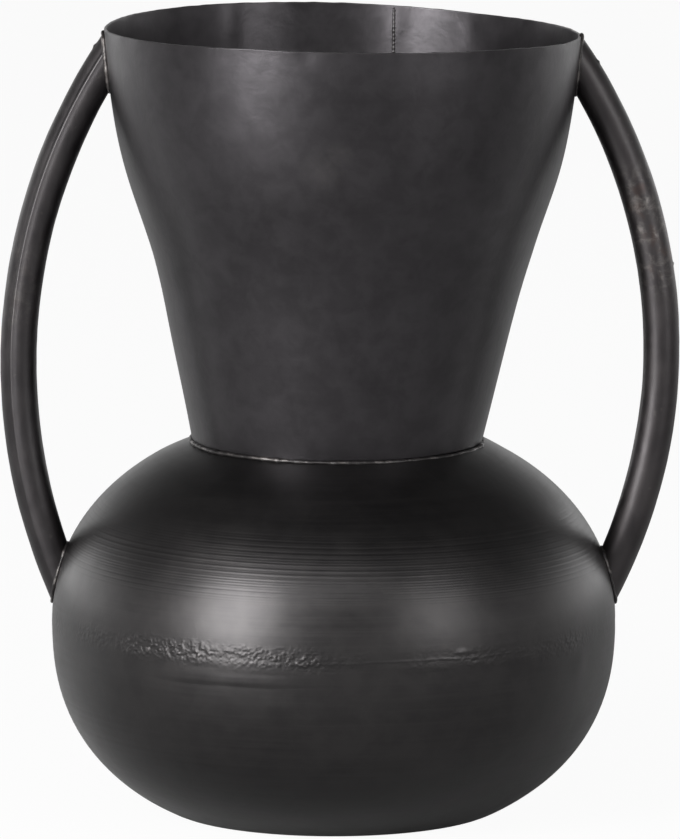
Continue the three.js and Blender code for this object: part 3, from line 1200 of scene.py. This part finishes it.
@dataclass
class Handle:
    """A bent tube with coped ends, and the beads that hold it."""

    side: Side
    furthest: float
    arc_radius: float
    arc_height: float
    belly: BellyLine
    neck: NeckLine
    wall: float = 1.5
    crease: float = 0.0
    crease_turn: float = 64.0
    nubs: tuple[Dent, ...] = ()
    columns: int = 72
    rows: int = 420
    gap: float = 0.25
    top_wedge: float = 1.1
    foot_wedge: float = 0.88
    longest: float = 0.9
    halvings: int = 40
    bead: float = 1.5
    bead_out: float = 0.2
    bead_gap: float = 0.55
    bead_columns: int = 260
    lumps: Lumps = field(default_factory=lambda: Lumps(seed=37))

    @property
    def name(self) -> str:
        """The side as a word."""
        return self.side.name.lower()

    def place(self, bend: Array, turn: Array, radius: Union[float, Array]) -> Array:
        """Places on the tube, for angles along the arc and round the tube.

        Args:
            bend: Angles along the arc in radians, 0 at the furthest point.
            turn: Angles round the tube in radians, from outwards towards the front.
            radius: Distances from the tube's middle line.

        Returns:
            Places in millimetres.
        """
        centre = self.furthest - TUBE_RADIUS - self.arc_radius
        reach = self.arc_radius + radius * np.cos(turn)
        x = self.side.value * (centre + reach * np.cos(bend))
        z = self.arc_height + reach * np.sin(bend)
        return np.stack([x, -radius * np.sin(turn) + 0 * bend, z], axis=-1)

    def room(self, end: End, at: Array) -> Array:
        """Distance of places from the neck at the top, or from the belly at the foot.

        Args:
            end: Which end of the handle.
            at: The places.

        Returns:
            One distance for each place.
        """
        x, y, z = at[..., 0], at[..., 1], at[..., 2]
        if end is End.TOP:
            return np.hypot(x - self.neck.shift_at(z), y) - self.neck.radius_at(z)
        return np.hypot(x, y) - self.belly.radius_at(z)

    def bend_at(self, end: End, turn: Array, radius: float, gap: Union[float, Array]) -> Array:
        """Angles along the arc at which lines of the tube come within a gap of the neck or the belly.

        Args:
            end: Which end of the handle.
            turn: Angles of the lines round the tube, in radians.
            radius: Their distance from the tube's middle line.
            gap: The gap in millimetres.

        Returns:
            One angle in radians for each line.
        """
        low, high = np.zeros_like(turn), np.full_like(turn, self.longest)
        for _ in range(self.halvings):
            middle = (low + high) / 2
            clear = self.room(end, self.place(end.value * middle, turn, radius)) > gap
            low, high = np.where(clear, middle, low), np.where(clear, high, middle)
        return end.value * (low + high) / 2

    def shape(self, turn: Array, at: Array) -> Array:
        """How far the tube's surface stands out: crease, slight dents and nubs.

        Args:
            turn: Angles round the tube, in radians.
            at: The places there.

        Returns:
            One distance in millimetres for each place.
        """
        degrees, height = np.degrees(turn), at[..., 2]
        push = 0.16 * self.lumps.at(at, 24) + 0.07 * self.lumps.at(at + 20, 7)
        if self.crease:
            fold = turn_between(degrees, self.crease_turn)
            hollow = smooth_step(fold, -70, -4) * (1 - smooth_step(fold, -3, 0))
            fade = 0.25 + 0.75 * smooth_step(height, 160, 330)
            push = push + self.crease * fade * (0.75 * bump_at(fold, 1.5, 5.0) - 0.8 * hollow)
        return push + sum(spot.at(degrees, height) for spot in self.nubs)

    def build_tube(self) -> Piece:
        """Makes the hollow tube, whose ends follow the neck and the belly.

        Returns:
            The new object.
        """
        turn = np.linspace(0, 2 * math.pi, self.columns, endpoint=False)
        inward = (0.5 - 0.5 * np.cos(turn)) ** 3
        parts, wears = [], []
        for radius, count in ((TUBE_RADIUS, self.rows), (TUBE_RADIUS - self.wall, self.rows // 5)):
            top = self.bend_at(End.TOP, turn, radius, self.gap + self.top_wedge * inward)
            foot = self.bend_at(End.FOOT, turn, radius, self.gap + self.foot_wedge * inward)
            bend = np.linspace(foot, top, count)
            around = np.ones_like(bend) * turn
            grown = radius + self.shape(around, self.place(bend, around, radius))
            parts.append(self.place(bend, around, grown))
            wears.append(np.zeros_like(bend))
            wears[-1][[0, -1]] = 0.8
        points, wear = (np.vstack([outer, inner[::-1]]) for outer, inner in (parts, wears))
        return mesh_from_grid(f"{self.name}_tube", points, wear)

    def build_bead(self, end: End) -> Piece:
        """Makes the bead round one end of the tube.

        Args:
            end: Which end of the handle.

        Returns:
            The new object.
        """
        turn = np.linspace(0, 2 * math.pi, self.bead_columns, endpoint=False)
        radius = TUBE_RADIUS + self.bead_out
        path = self.place(self.bend_at(end, turn, radius, self.bead_gap), turn, radius)
        up = path - path.mean(axis=0)
        up /= np.linalg.norm(up, axis=1, keepdims=True)
        up += np.array([self.side.value * 0.7, 0, 0])
        lumps = 0.45 * self.lumps.at(path + 11, 4.5) + 0.3 * self.lumps.at(path + 60, 11)
        name = f"{self.name}_{end.name.lower()}_bead"
        return sweep_bead(name, path, up, np.maximum(self.bead * (0.8 + lumps), 0.5))

    def build(self, metal: Metal, weld: Metal) -> None:
        """Builds the tube and its two beads and gives them their finishes.

        Args:
            metal: Finish of the tube.
            weld: Finish of the beads.
        """
        node = f"{self.name}_handle"
        dress(self.build_tube(), metal, node)
        for end in End:
            dress(self.build_bead(end), weld, f"{node}_{end.name.lower()}_weld")


@dataclass(frozen=True)
class Lamp:
    """A soft rectangular lamp that faces the vase, with its lengths in metres and its power in watts."""

    name: str
    azimuth: float
    height: float
    away: float
    wide: float
    tall: float
    power: float
    aim: float = 0.25

    def build(self) -> None:
        """Hangs the lamp."""
        data = bpy.data.lights.new(self.name, "AREA")
        data.shape = "RECTANGLE"
        data.size = self.wide
        data.size_y = self.tall
        data.energy = self.power
        lamp = bpy.data.objects.new(self.name, data)
        turn = math.radians(self.azimuth)
        lamp.location = (self.away * math.cos(turn), self.away * math.sin(turn), self.height)
        to_vase = Vector((0, 0, self.aim)) - lamp.location
        lamp.rotation_euler = to_vase.to_track_quat("-Z", "Y").to_euler()
        bpy.context.scene.collection.objects.link(lamp)


@dataclass
class Studio:
    """The pale floor, with painted shade in its reflections, the room, the soft lamps and the camera."""

    camera_height: float = 8.8
    focal_pixels: float = 9000.0
    long_side_pixels: float = 839.0
    sensor: float = 36.0
    furthest_seen: float = 200.0
    distance: float = 5468.4
    aim: tuple[float, float, float] = (3.95, 0.0, 238.2)
    floor_radius: float = 60.0
    floor_greys: tuple[float, float] = (0.80, 0.83)
    floor_white: float = 0.95
    # Painted shade in reflections: the grey that glossy rays see on the floor's front, and how much of it
    # is mixed in
    reflected_shade_grey: float = 0.1
    reflected_shade_share: float = 0.5
    room: tuple[tuple[float, float], ...] = ((0.0, 0.95), (0.2, 0.5), (0.45, 0.12), (1.0, 0.05))
    lamps: tuple[Lamp, ...] = (
        Lamp("key", azimuth=-131, height=0.98, away=2.3, wide=1.05, tall=1.85, power=72),
        Lamp("fill", azimuth=-46, height=1.0, away=2.4, wide=0.8, tall=1.6, power=14),
        Lamp("front", azimuth=-90, height=1.75, away=1.9, wide=1.4, tall=0.5, power=6),
        Lamp("left_wall", azimuth=145, height=0.42, away=2.2, wide=1.9, tall=0.7, power=4.5),
        Lamp("right_wall", azimuth=38, height=0.42, away=2.2, wide=1.9, tall=0.7, power=3.5),
    )

    def build_camera(self) -> None:
        """Stands the camera where the photograph was taken from."""
        tilt = math.radians(self.camera_height)
        data = bpy.data.cameras.new("camera")
        data.sensor_width = self.sensor
        data.lens = self.focal_pixels / self.long_side_pixels * self.sensor
        data.clip_end = self.furthest_seen
        camera = bpy.data.objects.new("camera", data)
        away = Vector((0, -math.cos(tilt), math.sin(tilt))) * self.distance * MM
        camera.location = Vector(self.aim) * MM + away
        camera.rotation_euler = (math.radians(90 - self.camera_height), 0, 0)
        bpy.context.scene.collection.objects.link(camera)
        bpy.context.scene.camera = camera

    def build_floor(self) -> None:
        """Lays a floor that reads as white and keeps the vase's shadow, with painted shade in reflections:
        its front is darker for glossy rays.
        """
        rim = revolved(np.array([[self.floor_radius, 0.0]]), full_turn(96))[0].tolist()
        mesh = bpy.data.meshes.new("floor")
        mesh.from_pydata(rim, [], [list(range(len(rim)))])
        floor = bpy.data.objects.new("floor", mesh)
        bpy.context.scene.collection.objects.link(floor)
        paint = Paint(bpy.data.materials.new("pale_floor"))
        camera, glossy, through = (
            paint.add("ShaderNodeLightPath", output=f"Is {ray} Ray")
            for ray in ("Camera", "Glossy", "Transmission")
        )
        low, high, reflected_shade = (
            paint.add("ShaderNodeBsdfDiffuse", {}, {"Color": (level,) * 3})
            for level in (*self.floor_greys, self.reflected_shade_grey)
        )
        white = paint.add("ShaderNodeEmission", {}, {"Color": (1, 1, 1), "Strength": 1.0})
        lit = paint.blend(paint.noise(40.0, 2.0, 0.5), low, high)
        # Painted shade: glossy rays see the floor in front of the vase darker, so that the vase reflects a
        # shaded floor
        lit = paint.blend(glossy * paint.axis("Y").step(120, -120) * self.reflected_shade_share, lit, reflected_shade)
        seen = paint.blend(camera.larger(through) * self.floor_white, lit, white)
        paint.node("ShaderNodeOutputMaterial", {}, {"Surface": seen})
        floor.data.materials.append(paint.owner)

    def build_world(self) -> None:
        """Surrounds the vase with a room that is bright at eye level and dark overhead."""
        world = bpy.data.worlds.new("studio")
        bpy.context.scene.world = world
        paint = Paint(world)
        way = paint.add("ShaderNodeTexCoord", output="Generated")
        height = paint.add("ShaderNodeSeparateXYZ", {}, {0: way}, output="Z")
        stops = [(where, (level,) * 3) for where, level in self.room]
        light = paint.add("ShaderNodeValToRGB", {"stops": stops}, {"Fac": height})
        room = paint.add("ShaderNodeBackground", {}, {"Color": light})
        paint.node("ShaderNodeOutputWorld", {}, {"Surface": room})

    def build(self) -> None:
        """Sets up everything that isn't part of the vase."""
        self.build_camera()
        self.build_floor()
        self.build_world()
        for lamp in self.lamps:
            lamp.build()
        bpy.context.scene.view_settings.view_transform = "Standard"


def main() -> None:
    """Builds the vase and its studio."""
    Studio().build()
    belly_line = BellyLine.from_frame()
    neck_line = NeckLine()

    neck_look = SheetFinish(
        name="neck_sheet", dark=(0.026, 0.023, 0.026), light=(0.062, 0.057, 0.062),
        rubbed=(0.14, 0.13, 0.13), rough_low=0.31, rough_high=0.42, ring_marks=0.15, hammered=0.7,
        patches=(Patch(134, -93, 408, 4, 17), Patch(136, -89, 417, 3, 12)),
    )
    seam_look = replace(neck_look, name="seam_metal", light=(0.08, 0.075, 0.075))
    shell_look = SheetFinish(
        name="shell_sheet", dark=(0.024, 0.022, 0.023), light=(0.044, 0.041, 0.041),
        rubbed=(0.15, 0.14, 0.14), rough_low=0.34, rough_high=0.45, ring_marks=1.0, hammered=0.3,
        patches=(Patch(171, -63.3, 122.5, 1, 4),),
    )
    weld = WeldFinish(
        name="weld_metal", dark=(0.022, 0.020, 0.020), light=(0.055, 0.050, 0.050),
        rubbed=(0.24, 0.22, 0.21), shine=0.7,
    ).build()
    left_look = TubeFinish(
        name="left_tube_finish", dark=(0.026, 0.023, 0.025), light=(0.052, 0.047, 0.048),
        rubbed=(0.14, 0.13, 0.12), rust=(0.07, 0.045, 0.035),
        burnish_low=300, burnish_high=350, burnish=0.35,
    )
    right_look = TubeFinish(
        name="right_tube_finish", dark=(0.032, 0.028, 0.030), light=(0.066, 0.059, 0.060),
        rubbed=(0.18, 0.165, 0.155), rust=(0.085, 0.045, 0.032),
        burnish_low=325, burnish_high=385, burnish=1.0,
    )

    Neck(neck_line, belly_line).build(neck_look.build(), seam_look.build(), weld)
    belly = Belly(belly_line, neck_line)
    belly.build(shell_look.build())
    Belt(belly).build(replace(shell_look, name="belt_metal").build())
    left = Handle(
        side=Side.LEFT,
        furthest=-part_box("left_handle")[0].x / MM,
        arc_radius=347.3,
        arc_height=271.2,
        belly=belly_line,
        neck=neck_line,
        crease=0.75,
        nubs=(nub(466.5, 0, 1.3, 0.7),),
    )
    right = Handle(
        side=Side.RIGHT,
        furthest=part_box("right_handle")[1].x / MM,
        arc_radius=322.7,
        arc_height=281.4,
        belly=belly_line,
        neck=neck_line,
        nubs=(nub(457, 10, 1.2, 0.8), nub(334, 0, 0.9, 0.6)),
        lumps=Lumps(seed=41),
    )
    left.build(left_look.build(), weld)
    right.build(right_look.build(), weld)


if __name__ == "__main__":
    main()
